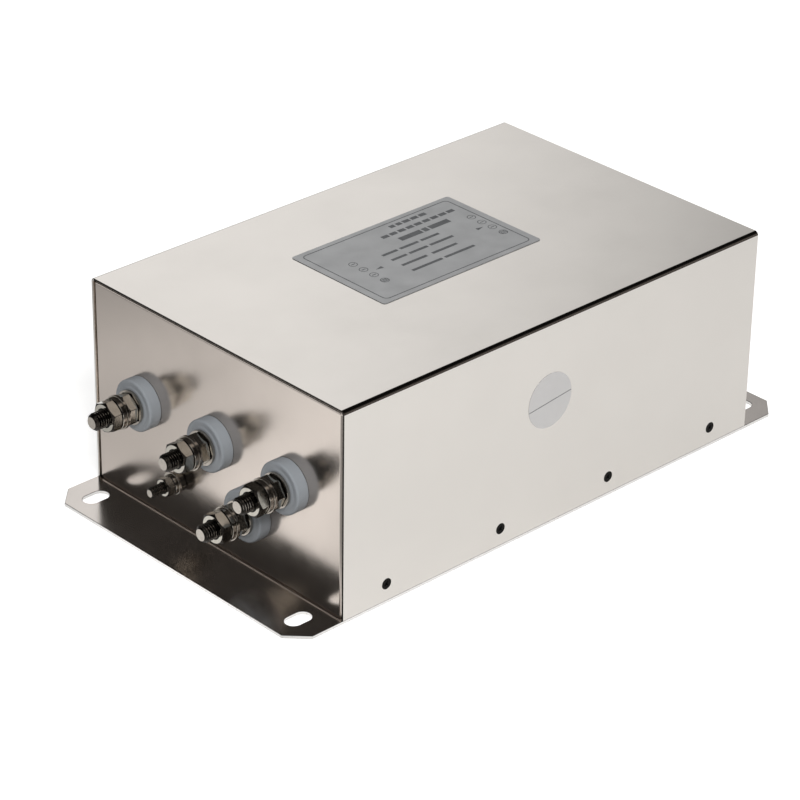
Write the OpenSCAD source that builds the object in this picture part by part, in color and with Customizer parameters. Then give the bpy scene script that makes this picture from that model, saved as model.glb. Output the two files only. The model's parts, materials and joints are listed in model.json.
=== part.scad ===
// Three-phase four-wire mains interference filter in a folded sheet-metal housing.
// X runs from the line end (-X) to the load end (+X), Z is up, millimetres.
// The origin is the middle of the footprint, on the underside of the base plate.
// Left is +Y and right is -Y, as seen from the line end.

/* [Housing] */
// Length of the box between its two end panels
body_l = 250; // [240:1:320]
// Width of the box and of the base plate
body_w = 162; // [156:1:220]
// Height of the box, base plate included
body_h = 100.5; // [98:0.5:140]
// Sheet thickness of the cover
cover_t = 1; // [0.8:0.1:1.5]
// Inside bend radius along the cover's two long top edges
cover_bend_r = 1; // [0.5:0.1:2]

/* [Base plate] */
// Sheet thickness of the base plate
base_t = 1.5; // [1.2:0.1:3]
// How far each mounting ear reaches past the box
ear_l = 26; // [24:0.5:40]
// Length cut from each corner of the ears, at 45 degrees
ear_cut = 9; // [4:0.5:10]
// Width of the four mounting slots
slot_w = 8; // [5.5:0.1:9]
// Length of the mounting slots, end to end
slot_l = 13; // [11:0.5:16]
// Distance from the box to the slot centres
slot_inset = 12.5; // [10:0.5:15]
// Distance from the plate's long edge to the slot centres
slot_edge = 14; // [13:0.5:30]

/* [End panels] */
// Sheet thickness of the end panels
panel_t = 1.2; // [1:0.1:2]
// Inside bend radius of the panel flanges
panel_bend_r = 0.4; // [0.3:0.1:1]
// Depth of the flanges folded round each panel
flange_d = 12; // [8:0.5:15]
// Gap between the panel flanges and the cover's sides
panel_gap = 0.3; // [0.2:0.1:1]
// How far the panels sit behind the cover's ends
panel_set_back = 0.2; // [0:0.1:2]

/* [Side rails and cover screws] */
// Sheet thickness of the two angle rails inside the cover
rail_t = 1.5; // [1.2:0.1:2]
// Height of the rail's upright leg
rail_h = 17; // [15:0.5:20]
// Width of the rail's foot on the base plate
rail_foot = 12; // [8:0.5:14]
// Gap between a rail's end and the panel flange
rail_gap = 2; // [1:0.5:5]
// Spacing of the screws along each side
screw_pitch = 67; // [50:0.5:68]
// Least distance from a rail's end to a screw
screw_end = 5; // [4:0.5:8]
// Height of the screw centres above the underside
screw_z = 9.6; // [9:0.1:12]
// Thread diameter of the cover screws
screw_d = 3; // [2.5:0.5:3.5]
// Thread pitch of the cover screws
screw_p = 0.5; // [0.35:0.05:0.6]
// Diameter of the countersunk heads
screw_head_d = 5; // [4.6:0.1:6]
// Height of the countersunk heads
screw_head_h = 0.9; // [0.6:0.1:1]
// How far the heads lie below the cover's surface
screw_sink = 0.1; // [0:0.05:0.2]
// Length of the cover screws under the head
screw_l = 5; // [4:0.5:8]

/* [Terminal layout] */
// Spacing between neighbouring phase terminals
term_pitch = 47.5; // [44:0.5:50]
// Height of the phase terminals
term_z = 52.7; // [46:0.1:60]
// Sideways offset of the neutral terminal
neutral_y = -23.75; // [-28:0.25:-20]
// Height of the neutral terminal
neutral_z = 28.9; // [24:0.1:31]
// Sideways offset of the earth stud
earth_y = 23.6; // [20:0.1:30]
// Height of the earth stud
earth_z = 23.8; // [18:0.1:28]

/* [Terminal studs] */
// Thread diameter of the eight terminal studs
stud_d = 8; // [6:1:8]
// Thread pitch of the terminal studs
stud_p = 1.25; // [1:0.25:1.25]
// How far the studs stand out of the panels
stud_out = 28.7; // [26:0.1:45]
// Length of the bevel at a stud's tip
stud_bevel = 1; // [0.5:0.1:1.5]
// How far a stud runs past its back nut inside the box
stud_in = 2; // [0.5:0.5:6]
// Width across flats of the terminal nuts
nut_af = 13; // [12:0.5:14]
// Height of the terminal nuts
nut_h = 5.2; // [4:0.1:6.5]
// Outer diameter of the flat washers
washer_d = 15.6; // [14:0.1:17]
// Thickness of the flat washers
washer_t = 1.6; // [1:0.1:2]
// Outer diameter of the washers that seat on the insulators
seat_d = 16; // [15:0.1:18]
// Thickness of the washers that seat on the insulators
seat_t = 1.6; // [1:0.1:2.5]
// Outer diameter of the spring washers
spring_d = 14.6; // [13:0.1:15]
// Thickness of the spring washers
spring_t = 1.9; // [1.2:0.1:2.4]
// Radial clearance of washers round their stud
washer_clear = 0.2; // [0.1:0.05:0.5]

/* [Earth stud] */
// Thread diameter of the earth stud
earth_d = 5; // [4:0.5:6]
// Thread pitch of the earth stud
earth_p = 0.8; // [0.7:0.1:1]
// How far the earth stud stands out of the panel
earth_out = 17.2; // [16:0.1:25]
// Length of the bevel at the earth stud's tip
earth_bevel = 0.8; // [0.4:0.1:1]
// Diameter of the clinched head behind the panel
earth_head_d = 9; // [8:0.5:11]
// Thickness of the clinched head
earth_head_t = 1.3; // [1:0.1:2]
// Width across flats of the earth nuts
earth_af = 8; // [8:0.5:10]
// Height of the earth nuts
earth_nut_h = 3.9; // [2.7:0.1:4.5]
// Outer diameter of the earth washer
earth_washer_d = 11; // [9.5:0.1:12]
// Thickness of the earth washer
earth_washer_t = 1; // [0.6:0.1:1.2]
// Outer diameter of the earth spring washer
earth_spring_d = 9.2; // [8.5:0.1:10]
// Thickness of the earth spring washer
earth_spring_t = 1.1; // [0.8:0.1:1.4]

/* [Insulators] */
// Diameter of the grey insulators outside the panels
bush_d = 24; // [20:0.5:26]
// Thickness of the outer insulators up to their shoulder
bush_t = 6.1; // [4:0.1:8]
// Radius of the round on the outer insulators' front edge
bush_round = 1; // [0.4:0.1:2]
// Diameter of the raised boss on the outer insulators
boss_d = 18.6; // [17:0.1:19]
// Height of the raised boss
boss_h = 0.4; // [0.2:0.1:1]
// Diameter of the neck that passes through the panel
neck_d = 14; // [12:0.5:16]
// How far the neck enters the inner insulator
neck_in = 1.5; // [0.5:0.1:3]
// Radial clearance round the neck
neck_clear = 0.15; // [0.05:0.05:0.4]
// Diameter of the inner insulators
inner_bush_d = 22; // [20:0.5:24]
// Thickness of the inner insulators
inner_bush_t = 5; // [4:0.1:8]
// Radial clearance of the insulators round their stud
bush_clear = 0.1; // [0.05:0.05:0.4]

/* [Choke core] */
// Outer diameter of the ring core
core_od = 74; // [70:1:80]
// Inner diameter of the ring core
core_id = 46; // [44:1:50]
// Length of the ring core along its axis
core_l = 36; // [25:1:38]
// Wall of the plastic case round the core
case_t = 1.2; // [0.8:0.1:2]
// Clearance between the core and its case
case_clear = 0.3; // [0.1:0.1:0.5]

/* [Windings] */
// Width of the copper strap
strap_w = 5; // [3:0.1:5.2]
// Thickness of the copper strap
strap_t = 3; // [2:0.1:3.2]
// Clearance between the strap and the case
strap_clear = 0.3; // [0.1:0.1:0.8]
// Inside corner radius where the strap turns over the case
strap_bend_r = 1.5; // [1:0.1:3]
// Passes of each winding through the core
turns = 3; // [2:1:3]
// Angle from one turn to the next
turn_step = 17; // [16.5:0.5:18]
// Angle of each winding's middle above or below the horizontal
arc_mid = 44; // [43:0.5:45]
// Thickness of the connecting links on the studs
link_t = 3; // [2:0.1:4]
// Width of the connecting links
link_w = 8; // [6:0.5:10]
// Diameter of the round end of a link at its stud
link_eye_d = 18; // [16:0.5:20]

/* [Choke cradle] */
// Thickness of the cradle's foot
foot_t = 3; // [2:0.5:5]
// Width of the cradle's foot
foot_w = 60; // [40:1:90]
// Length of the cradle along the box
cradle_l = 32; // [20:1:36]
// Clearance between the cradle and the windings
cradle_clear = 1.5; // [1:0.1:3]

/* [Boards] */
// Length of each circuit board along the box
board_l = 76; // [74:0.5:78]
// Width of each circuit board
board_w = 132; // [130:1:136]
// Thickness of the circuit boards
board_t = 1.6; // [1:0.1:2.4]
// Gap between the boards and the choke windings
board_gap = 4; // [3:0.5:6]
// Height of the spacers under the boards
spacer_h = 2; // [1.8:0.1:4]
// Diameter of the spacers
spacer_d = 6; // [5:0.5:8]
// Diameter of the spacer necks that pass through the boards
spacer_neck_d = 3.2; // [3:0.1:4]
// Diameter of the spacer heads that hold the boards down
spacer_head_d = 5.2; // [4.8:0.1:6]
// Height of the spacer heads
spacer_head_h = 1.6; // [1:0.1:2.5]
// Distance from a board's ends to its spacers
spacer_inset = 6; // [4.5:0.5:6.5]
// Spacing of the spacers across each board
spacer_span = 104; // [90:1:110]
// Radial clearance of pins and necks in the boards
hole_clear = 0.1; // [0.05:0.05:0.3]

/* [Board parts] */
// Length of the line-to-line capacitors
xcap_l = 32; // [26:0.5:34]
// Width of the line-to-line capacitors
xcap_w = 17; // [12:0.5:17.5]
// Height of the line-to-line capacitors
xcap_h = 24; // [18:0.5:26]
// Distance from the choke-side board edge to these capacitors
xcap_inset = 11; // [10:0.5:13]
// Clearance between a capacitor row and the lead that runs between the rows
row_clear = 0.8; // [0.5:0.1:1.5]
// Length of the line-to-earth capacitors
ycap_l = 14; // [10:0.5:15]
// Width of the line-to-earth capacitors
ycap_w = 8; // [5:0.5:10]
// Height of the line-to-earth capacitors
ycap_h = 12; // [8:0.5:16]
// Gap between the two kinds of part on a board
part_gap = 8; // [5:0.5:9]
// Diameter of the component pins
pin_d = 0.8; // [0.6:0.1:1.2]
// How far the pins reach below the boards
pin_out = 1.4; // [0.5:0.1:2]
// Length of a bleed resistor's body
res_l = 10; // [6:0.5:12]
// Diameter of a bleed resistor's body
res_d = 4; // [3:0.1:5]

/* [Labels] */
// Length of the nameplate
plate_l = 95; // [60:1:120]
// Width of the nameplate
plate_w = 60; // [40:1:80]
// Corner radius of the nameplate
plate_r = 1.5; // [0.5:0.1:5]
// Offset of the nameplate's middle towards the load end
plate_x = -1; // [-40:0.5:40]
// Offset of the nameplate's middle to the left
plate_y = 7.6; // [-20:0.1:20]
// Thickness of the nameplate foil
plate_t = 0.3; // [0.1:0.05:0.6]
// Diameter of the round sticker on the right side
sticker_d = 26; // [15:0.5:40]
// Offset of the sticker towards the load end
sticker_x = -5.7; // [-60:0.1:60]
// Height of the sticker's middle
sticker_z = 62.5; // [50:0.5:75]
// Thickness of the sticker
sticker_t = 0.15; // [0.05:0.05:0.3]

/* [Hidden] */
$fn = 64;

LINE = -1;
LOAD = 1;

// Sheet metal
cover_out_r = cover_bend_r + cover_t;
panel_x = body_l / 2 - panel_set_back;
panel_w = body_w - 2 * (cover_t + panel_gap);
panel_h = body_h - base_t - cover_t;
panel_mid_z = base_t + panel_h / 2;
panel_out_r = panel_bend_r + panel_t;
rail_l = 2 * (panel_x - flange_d - rail_gap);
side_y = body_w / 2 - cover_t;
screw_gaps = floor((rail_l - 2 * screw_end) / screw_pitch);
screw_xs = [for (i = [0 : screw_gaps]) (i - screw_gaps / 2) * screw_pitch];
// Radial clearances of the cover's screw holes, round the thread and round the head
screw_clear = 0.2;
head_clear = 0.1;
// Collar drawn out of the rail behind each screw
collar_wall = 1.2;
collar_h = 1.6;
// Cross recess in the screw heads
cross_l = 2.4;
cross_w = 0.6;
cross_h = 0.6;

// Engaged threads are drawn at their pitch radius, where screw and nut meet
function pitch_r(d, p) = (d - 0.6495 * p) / 2;
stud_pr = pitch_r(stud_d, stud_p);
earth_pr = pitch_r(earth_d, earth_p);
screw_pr = pitch_r(screw_d, screw_p);

// Terminals, as [y, z], in the order L1, L2, L3, N
TERMS = [[term_pitch, term_z], [0, term_z], [-term_pitch, term_z], [neutral_y, neutral_z]];

// Heights of the pieces stacked on a terminal, measured outwards from the panel
boss_top = bush_t + boss_h;
clamp_at = boss_top + seat_t;
flat_at = clamp_at + nut_h;
spring_at = flat_at + washer_t;
outer_at = spring_at + spring_t;
free_at = outer_at + nut_h;
// The same inside the box, measured inwards from the panel's outer face
neck_l = panel_t + neck_in;
link_at = panel_t + inner_bush_t;
back_at = link_at + link_t;
stud_end = back_at + nut_h + stud_in;
// And for the earth stud
earth_flat_at = earth_nut_h;
earth_spring_at = earth_flat_at + earth_washer_t;
earth_outer_at = earth_spring_at + earth_spring_t;
earth_free_at = earth_outer_at + earth_nut_h;

// Turn of each nut about its stud, set by hand as nuts come to rest when tightened
clamp_turns = [52, 15, 32, 22];
outer_turns = [54, 57, 28, 56];
load_clamp_turns = [22, 3, 36, 15];
load_outer_turns = [50, 28, 9, 33];
back_turns = [7, 21, 43, 30];
earth_turns = [25, 50];
// Slit of the spring washers: its width, its slant and its turn about each stud
slit_w = 0.7;
slit_slant = 25;
spring_turns = [20, 90, 160, 230];
earth_spring_turn = 120;

// Choke
choke_z = panel_mid_z;
case_ro = core_od / 2 + case_clear + case_t;
case_ri = core_id / 2 - case_clear - case_t;
case_h = core_l + 2 * case_t + case_clear;
strap_ro = case_ro + strap_clear + strap_t / 2;
strap_ri = case_ri - strap_clear - strap_t / 2;
strap_x = case_h / 2 + strap_clear + strap_t / 2;
strap_r = strap_bend_r + strap_t / 2;
winding_arc = turns * turn_step;
low_lead = arc_mid - winding_arc / 2;
high_lead = arc_mid + winding_arc / 2;
link_x = panel_x - link_at;

// Boards and what stands on them
board_x = strap_x + strap_t / 2 + board_gap + board_l / 2;
board_z = base_t + spacer_h;
board_top = board_z + board_t;
choke_edge = board_x - board_l / 2;
lead_y = strap_ro * cos(low_lead);
lead_half = strap_t / 2 * cos(low_lead) + strap_w / 2 * sin(low_lead);
row_in = lead_y - lead_half - row_clear - xcap_w / 2;
row_out = lead_y + lead_half + row_clear + xcap_w / 2;
xcap_x = choke_edge + xcap_inset + xcap_l / 2;
ycap_x = xcap_x + xcap_l / 2 + part_gap + ycap_l / 2;
XCAPS = [[xcap_x, row_in], [xcap_x, -row_in], [xcap_x, row_out]];
YCAPS = [[ycap_x, row_in], [ycap_x, -row_in], [ycap_x, row_out], [ycap_x, -row_out]];
RESISTORS = [[ycap_x, row_in], [ycap_x, -row_in], [ycap_x, row_out]];
SPACERS = [for (sx = [-1, 1], sy = [-1, 1])
    [board_x + sx * (board_l / 2 - spacer_inset), sy * spacer_span / 2]];
// Pins, measured from the middle of each part to its pin
xcap_pin = xcap_l / 2 - 2.5;
ycap_pin = ycap_l / 2 - 2;
res_pin = res_l / 2 + 2;
// Corner radius of the moulded boxes
cap_round = 0.8;

// Helpers

// Turns a shape's X, Y and Z into the box's Y, Z and X
module along_x() {
    rotate([90, 0, 90]) children();
}

// Puts a shape on a panel's outer face, its Z pointing out of the box
module on_panel(side, yz) {
    translate([side * panel_x, yz[0], yz[1]]) rotate([0, side * 90, 0]) children();
}

module round_rect(w, h, r) {
    square([w - 2 * r, h], center = true);
    square([w, h - 2 * r], center = true);
    for (sx = [-1, 1], sy = [-1, 1]) {
        translate([sx * (w / 2 - r), sy * (h / 2 - r)]) circle(r = r);
    }
}

module slot_shape(w, l) {
    square([l - w, w], center = true);
    for (s = [-1, 1]) translate([s * (l - w) / 2, 0]) circle(d = w);
}

// Upright section of the cover, standing on y = 0, with two round top corners
module arch(w, h, r) {
    translate([-w / 2, 0]) square([w, h - r]);
    translate([r - w / 2, 0]) square([w - 2 * r, h]);
    for (s = [-1, 1]) translate([s * (w / 2 - r), h - r]) circle(r = r);
}

module ring(od, id, h) {
    difference() {
        cylinder(d = od, h = h);
        translate([0, 0, -1]) cylinder(d = id, h = h + 2);
    }
}

// Hexagon nut with bevelled corners on both faces and a countersunk thread
module hex_nut(d, pr, af, h, turn) {
    corner = af / 2 / cos(30);
    face = 0.475 * af;
    rim = corner + 1;
    bevel = (rim - face) * tan(30);
    sink = d / 2 + 0.25 - pr;
    rotate([0, 0, turn - 30]) difference() {
        intersection() {
            rotate([0, 0, 30]) cylinder(r = corner, h = h, $fn = 6);
            rotate_extrude() polygon([
                [0, 0], [face, 0], [rim, bevel],
                [rim, h - bevel], [face, h], [0, h]
            ]);
        }
        translate([0, 0, -1]) cylinder(r = pr, h = h + 2);
        cylinder(r1 = pr + sink, r2 = pr, h = sink);
        translate([0, 0, h - sink]) cylinder(r1 = pr, r2 = pr + sink, h = sink);
    }
}

// Split ring, with its slit cut at a slant
module spring_washer(od, id, t, turn) {
    rotate([0, 0, turn]) difference() {
        ring(od, id, t);
        translate([(od + id) / 4, 0, t / 2]) rotate([slit_slant, 0, 0]) cube([od - id, slit_w, 3 * t], center = true);
    }
}

// Sheet metal

module ear_outline() {
    half_l = body_l / 2 + ear_l;
    half_w = body_w / 2;
    polygon([
        [half_l, half_w - ear_cut], [half_l - ear_cut, half_w],
        [ear_cut - half_l, half_w], [-half_l, half_w - ear_cut],
        [-half_l, ear_cut - half_w], [ear_cut - half_l, -half_w],
        [half_l - ear_cut, -half_w], [half_l, ear_cut - half_w]
    ]);
}

module base_plate() {
    color("silver") linear_extrude(height = base_t) difference() {
        ear_outline();
        for (sx = [-1, 1], sy = [-1, 1]) {
            translate([sx * (body_l / 2 + slot_inset), sy * (body_w / 2 - slot_edge)]) slot_shape(slot_w, slot_l);
        }
    }
}

// Countersunk screw hole through the cover, its Z pointing out of the box
module cover_hole() {
    r = screw_head_d / 2 + head_clear;
    translate([0, 0, -cover_t - 1]) cylinder(d = screw_d + 2 * screw_clear, h = cover_t + 2);
    translate([0, 0, -screw_sink - screw_head_h]) cylinder(r1 = r - screw_head_h, r2 = r, h = screw_head_h);
    translate([0, 0, -screw_sink]) cylinder(r = r, h = screw_sink + 1);
}

// Puts a shape at every screw of one long side, its Z pointing out of the box
module at_screws(side) {
    for (x = screw_xs) {
        translate([x, side * body_w / 2, screw_z]) rotate([-side * 90, 0, 0]) children();
    }
}

module cover() {
    color("gainsboro") difference() {
        translate([0, 0, base_t]) along_x() linear_extrude(height = body_l, center = true) difference() {
            arch(body_w, body_h - base_t, cover_out_r);
            translate([0, -1]) arch(2 * side_y, body_h - base_t - cover_t + 1, cover_bend_r);
        }
        at_screws(1) cover_hole();
        at_screws(-1) cover_hole();
    }
}

// Section of the fold round a panel: a quarter bend, then the flange
module fold_section() {
    intersection() {
        difference() {
            circle(r = panel_out_r);
            circle(r = panel_bend_r);
        }
        translate([0, -panel_out_r]) square(panel_out_r);
    }
    translate([panel_bend_r, 0]) square([panel_t, flange_d - panel_out_r]);
}

// Shallow pan, its face on z = 0 and its flanges folded towards +Z
module pan(w, h) {
    r = panel_out_r;
    translate([0, 0, panel_t / 2]) cube([w - 2 * r, h - 2 * r, panel_t], center = true);
    for (a = [0, 180]) {
        rotate([0, 0, a]) translate([w / 2 - r, 0, r]) rotate([90, 0, 0])
            linear_extrude(height = h - 2 * r, center = true) fold_section();
        rotate([0, 0, a + 90]) translate([h / 2 - r, 0, r]) rotate([90, 0, 0])
            linear_extrude(height = w - 2 * r, center = true) fold_section();
    }
    for (left = [0, 1], low = [0, 1]) {
        mirror([left, 0, 0]) mirror([0, low, 0]) translate([w / 2 - r, h / 2 - r, r])
            rotate_extrude(angle = 90) fold_section();
    }
}

module end_panel(side) {
    difference() {
        translate([side * panel_x, 0, panel_mid_z]) mirror([side > 0 ? 1 : 0, 0, 0]) along_x() pan(panel_w, panel_h);
        for (yz = TERMS) {
            on_panel(side, yz) translate([0, 0, -panel_t - 1]) cylinder(d = neck_d + 2 * neck_clear, h = panel_t + 2);
        }
    }
}

module line_panel() {
    color("silver") difference() {
        end_panel(LINE);
        on_panel(LINE, [earth_y, earth_z]) translate([0, 0, -panel_t - 1]) cylinder(d = earth_d, h = panel_t + 2);
    }
}

module load_panel() {
    color("silver") end_panel(LOAD);
}

// Angle strip inside the cover, with a tapped collar behind each screw
module side_rail(side) {
    collar_d = screw_d + 2 * collar_wall;
    collar_at = -cover_t - rail_t - collar_h;
    difference() {
        union() {
            translate([-rail_l / 2, side > 0 ? side_y - rail_t : -side_y, base_t])
                cube([rail_l, rail_t, rail_h]);
            translate([-rail_l / 2, side > 0 ? side_y - rail_foot : -side_y, base_t])
                cube([rail_l, rail_foot, rail_t]);
            at_screws(side) translate([0, 0, collar_at]) cylinder(d = collar_d, h = collar_h + rail_t / 2);
        }
        at_screws(side) translate([0, 0, collar_at - 1]) cylinder(r = screw_pr, h = collar_h + rail_t + 2);
    }
}

module side_rail_left() {
    color("silver") side_rail(1);
}

module side_rail_right() {
    color("silver") side_rail(-1);
}

// Countersunk screw with a cross recess
module cover_screw() {
    r = screw_head_d / 2;
    neck_r = r - screw_head_h;
    translate([0, 0, -screw_sink - screw_head_h]) difference() {
        union() {
            cylinder(r1 = neck_r, r2 = r, h = screw_head_h);
            translate([0, 0, -screw_l]) cylinder(r = screw_pr, h = screw_l + 0.2);
        }
        for (a = [45, 135]) {
            rotate([0, 0, a]) translate([0, 0, screw_head_h]) cube([cross_l, cross_w, 2 * cross_h], center = true);
        }
    }
}

module cover_screws_left() {
    color("black") at_screws(1) cover_screw();
}

module cover_screws_right() {
    color("black") at_screws(-1) cover_screw();
}

// Insulators

module outer_bushing() {
    bore = stud_d / 2 + bush_clear;
    rotate_extrude() difference() {
        union() {
            square([bush_d / 2 - bush_round, bush_t]);
            square([bush_d / 2, bush_t - bush_round]);
            translate([bush_d / 2 - bush_round, bush_t - bush_round]) circle(r = bush_round);
            square([boss_d / 2, boss_top]);
            translate([0, -neck_l]) square([neck_d / 2, neck_l]);
        }
        translate([-1, -neck_l - 1]) square([bore + 1, neck_l + boss_top + 2]);
    }
}

module inner_bushing() {
    translate([0, 0, -link_at]) difference() {
        ring(inner_bush_d, stud_d + 2 * bush_clear, inner_bush_t);
        translate([0, 0, inner_bush_t - neck_in - 0.1]) cylinder(d = neck_d + 2 * neck_clear, h = neck_in + 1);
    }
}

module line_bushing_l1() {
    color("slategray") on_panel(LINE, TERMS[0]) outer_bushing();
}

module line_bushing_l2() {
    color("slategray") on_panel(LINE, TERMS[1]) outer_bushing();
}

module line_bushing_l3() {
    color("slategray") on_panel(LINE, TERMS[2]) outer_bushing();
}

module line_bushing_n() {
    color("slategray") on_panel(LINE, TERMS[3]) outer_bushing();
}

module load_bushing_l1() {
    color("slategray") on_panel(LOAD, TERMS[0]) outer_bushing();
}

module load_bushing_l2() {
    color("slategray") on_panel(LOAD, TERMS[1]) outer_bushing();
}

module load_bushing_l3() {
    color("slategray") on_panel(LOAD, TERMS[2]) outer_bushing();
}

module load_bushing_n() {
    color("slategray") on_panel(LOAD, TERMS[3]) outer_bushing();
}

module line_inner_bushings() {
    color("slategray") for (yz = TERMS) on_panel(LINE, yz) inner_bushing();
}

module load_inner_bushings() {
    color("slategray") for (yz = TERMS) on_panel(LOAD, yz) inner_bushing();
}

// Studs, nuts and washers

// Threaded rod: its clamped length at pitch radius, its free end at full radius
module terminal_stud() {
    rotate_extrude() polygon([
        [0, -stud_end], [stud_pr - 0.5, -stud_end], [stud_pr, 0.5 - stud_end],
        [stud_pr, free_at], [stud_d / 2, free_at], [stud_d / 2, stud_out - stud_bevel],
        [stud_d / 2 - stud_bevel, stud_out], [0, stud_out]
    ]);
}

module line_stud_l1() {
    color("dimgray") on_panel(LINE, TERMS[0]) terminal_stud();
}

module line_stud_l2() {
    color("dimgray") on_panel(LINE, TERMS[1]) terminal_stud();
}

module line_stud_l3() {
    color("dimgray") on_panel(LINE, TERMS[2]) terminal_stud();
}

module line_stud_n() {
    color("dimgray") on_panel(LINE, TERMS[3]) terminal_stud();
}

module load_stud_l1() {
    color("dimgray") on_panel(LOAD, TERMS[0]) terminal_stud();
}

module load_stud_l2() {
    color("dimgray") on_panel(LOAD, TERMS[1]) terminal_stud();
}

module load_stud_l3() {
    color("dimgray") on_panel(LOAD, TERMS[2]) terminal_stud();
}

module load_stud_n() {
    color("dimgray") on_panel(LOAD, TERMS[3]) terminal_stud();
}

// The same piece on all four terminals of one end, at one height
module washers(side, od, t, at) {
    for (yz = TERMS) on_panel(side, yz) translate([0, 0, at]) ring(od, stud_d + 2 * washer_clear, t);
}

module springs(side) {
    for (i = [0 : 3]) {
        on_panel(side, TERMS[i]) translate([0, 0, spring_at])
            spring_washer(spring_d, stud_d + 2 * washer_clear, spring_t, spring_turns[i]);
    }
}

module nuts(side, at, turn) {
    for (i = [0 : 3]) {
        on_panel(side, TERMS[i]) translate([0, 0, at]) hex_nut(stud_d, stud_pr, nut_af, nut_h, turn[i]);
    }
}

module line_seat_washers() {
    color("gray") washers(LINE, seat_d, seat_t, boss_top);
}

module line_clamp_nuts() {
    color("dimgray") nuts(LINE, clamp_at, clamp_turns);
}

module line_flat_washers() {
    color("gray") washers(LINE, washer_d, washer_t, flat_at);
}

module line_spring_washers() {
    color("gray") springs(LINE);
}

module line_terminal_nuts() {
    color("dimgray") nuts(LINE, outer_at, outer_turns);
}

module load_seat_washers() {
    color("gray") washers(LOAD, seat_d, seat_t, boss_top);
}

module load_clamp_nuts() {
    color("dimgray") nuts(LOAD, clamp_at, load_clamp_turns);
}

module load_flat_washers() {
    color("gray") washers(LOAD, washer_d, washer_t, flat_at);
}

module load_spring_washers() {
    color("gray") springs(LOAD);
}

module load_terminal_nuts() {
    color("dimgray") nuts(LOAD, outer_at, load_outer_turns);
}

module line_back_nuts() {
    color("dimgray") nuts(LINE, -back_at - nut_h, back_turns);
}

module load_back_nuts() {
    color("dimgray") nuts(LOAD, -back_at - nut_h, back_turns);
}

// Earth terminal, with its head clinched behind the line panel

module on_earth() {
    on_panel(LINE, [earth_y, earth_z]) children();
}

module earth_stud() {
    color("gray") on_earth() rotate_extrude() polygon([
        [0, -panel_t - earth_head_t], [earth_head_d / 2, -panel_t - earth_head_t],
        [earth_head_d / 2, -panel_t],
        [earth_d / 2, -panel_t], [earth_d / 2, 0], [earth_pr, 0],
        [earth_pr, earth_free_at], [earth_d / 2, earth_free_at], [earth_d / 2, earth_out - earth_bevel],
        [earth_d / 2 - earth_bevel, earth_out], [0, earth_out]
    ]);
}

module earth_nuts() {
    color("dimgray") on_earth() {
        hex_nut(earth_d, earth_pr, earth_af, earth_nut_h, earth_turns[0]);
        translate([0, 0, earth_outer_at]) hex_nut(earth_d, earth_pr, earth_af, earth_nut_h, earth_turns[1]);
    }
}

module earth_washer() {
    color("gray") on_earth() translate([0, 0, earth_flat_at])
        ring(earth_washer_d, earth_d + 2 * washer_clear, earth_washer_t);
}

module earth_spring_washer() {
    color("gray") on_earth() translate([0, 0, earth_spring_at])
        spring_washer(earth_spring_d, earth_d + 2 * washer_clear, earth_spring_t, earth_spring_turn);
}

// Labels

module nameplate() {
    color("lightgray") translate([plate_x, plate_y, body_h]) linear_extrude(height = plate_t)
        round_rect(plate_l, plate_w, plate_r);
}

module inspection_sticker() {
    color("whitesmoke") translate([sticker_x, -body_w / 2, sticker_z]) rotate([90, 0, 0])
        cylinder(d = sticker_d, h = sticker_t);
}

// Windings: one flat strap that runs in from the line end, passes round the
// core's section once for every turn and runs out to the load end.

// A corner of the strap's path round the core's section, as [x, radius, nx, nr],
// from direction a0 to a1, where n is the side of the strap that faces outwards
function bend(x, r, a0, a1) = [
    for (i = [0 : 4]) let(a = a0 + (a1 - a0) * i / 4)
        [x + strap_r * sin(a), r + strap_r * cos(a), sin(a), cos(a)]
];

// One stop of the strap in space: its middle, its outward side and its width side
function stop(p, a) = [
    [p[0], p[1] * cos(a), p[1] * sin(a)],
    [p[2], p[3] * cos(a), p[3] * sin(a)],
    [0, -sin(a), cos(a)]
];

// All stops of one winding that starts at angle a0 and steps in direction s
function winding_stops(a0, s) = let(
    bx = strap_x - strap_r,
    hi = strap_ro - strap_r,
    lo = strap_ri + strap_r,
    end = link_x - link_t + 0.5
) concat(
    [stop([-end, strap_ro, 0, 1], a0)],
    [for (k = [0 : turns - 1])
        let(a = a0 + s * k * turn_step, b = a + s * turn_step / 2, c = a + s * turn_step)
        each concat(
            [for (p = bend(bx, hi, 0, 90)) stop(p, a)],
            [for (p = bend(bx, lo, 90, 180)) stop(p, b)],
            [for (p = bend(-bx, lo, 180, 270)) stop(p, b)],
            [for (p = bend(-bx, hi, 270, 360)) stop(p, c)]
        )],
    [stop([end, strap_ro, 0, 1], a0 + s * turns * turn_step)]
);

module strap(stops) {
    n = len(stops);
    w = strap_w / 2;
    t = strap_t / 2;
    points = [for (q = stops, c = [[1, 1], [1, -1], [-1, -1], [-1, 1]]) q[0] + q[1] * c[0] * t + q[2] * c[1] * w];
    sides = [for (i = [0 : n - 2], j = [0 : 3]) let(
        a = 4 * i + j, b = 4 * i + (j + 1) % 4, c = a + 4, d = b + 4
    ) each [[a, b, c], [b, d, c]]];
    e = 4 * (n - 1);
    polyhedron(points, concat(sides, [[0, 2, 1], [0, 3, 2], [e, e + 1, e + 2], [e, e + 2, e + 3]]));
}

// Flat link from a stud to the end of a lead, in the plane behind the insulators
module link(side, yz, angle) {
    lead = [strap_ro * cos(angle), choke_z + strap_ro * sin(angle)];
    d = lead - yz;
    near = side > 0 ? link_x - link_t : -link_x;
    translate([near, 0, 0]) along_x() linear_extrude(height = link_t) difference() {
        union() {
            translate(yz) circle(d = link_eye_d);
            translate(lead) circle(d = link_w);
            translate(yz) rotate(atan2(d[1], d[0])) translate([0, -link_w / 2]) square([norm(d), link_w]);
        }
        translate(yz) circle(r = stud_d / 2 + washer_clear);
    }
}

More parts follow.
